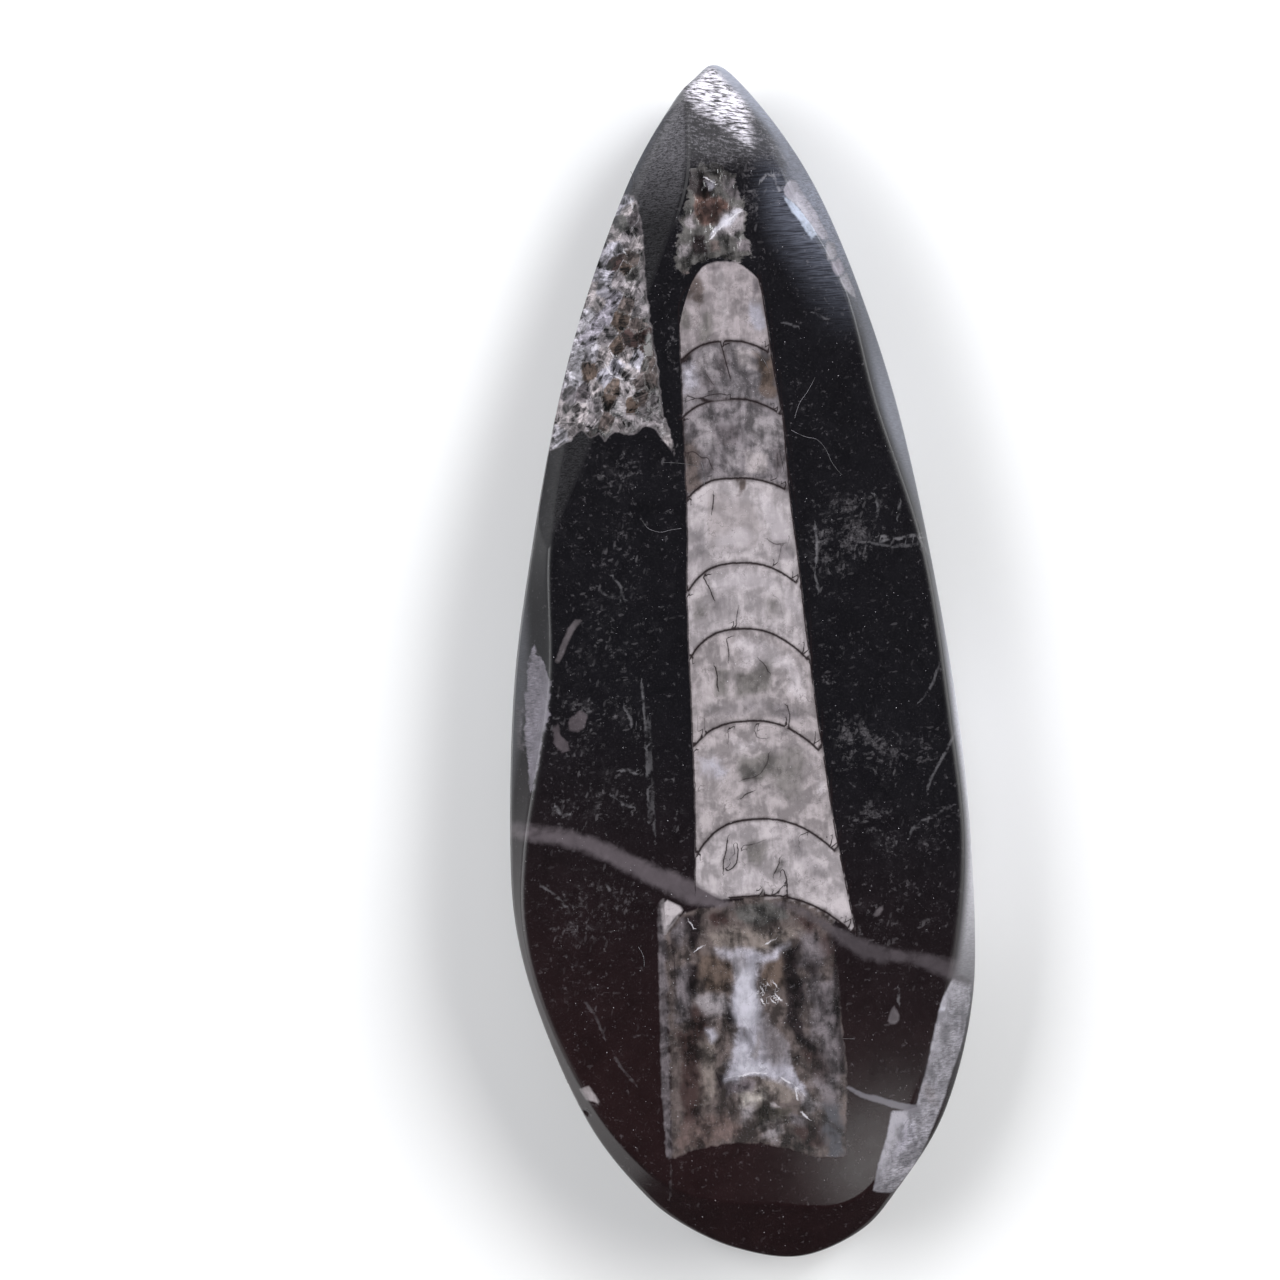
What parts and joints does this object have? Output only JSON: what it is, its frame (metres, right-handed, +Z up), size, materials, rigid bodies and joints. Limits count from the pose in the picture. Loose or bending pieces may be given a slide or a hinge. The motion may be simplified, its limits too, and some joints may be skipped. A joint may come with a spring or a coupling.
{
  "type": "polished orthoceras fossil",
  "caption": "Teardrop of polished black limestone with a long straight chambered shell in section; lies on its flat ground back.",
  "frame": {"origin": "middle of the stone's box, on the surface it rests on", "axes": "+Y towards the point of the teardrop, +X to the right seen from above, +Z up out of the polished face"},
  "size_m": [0.056, 0.1456, 0.022],
  "materials": {
    "polished_stone": "hand-ground and polished black limestone with pale grey calcite in the fossil shell and veins"
  },
  "bodies": {
    "root": {"orthoceras_stone": "polished_stone"}
  },
  "joints": []
}
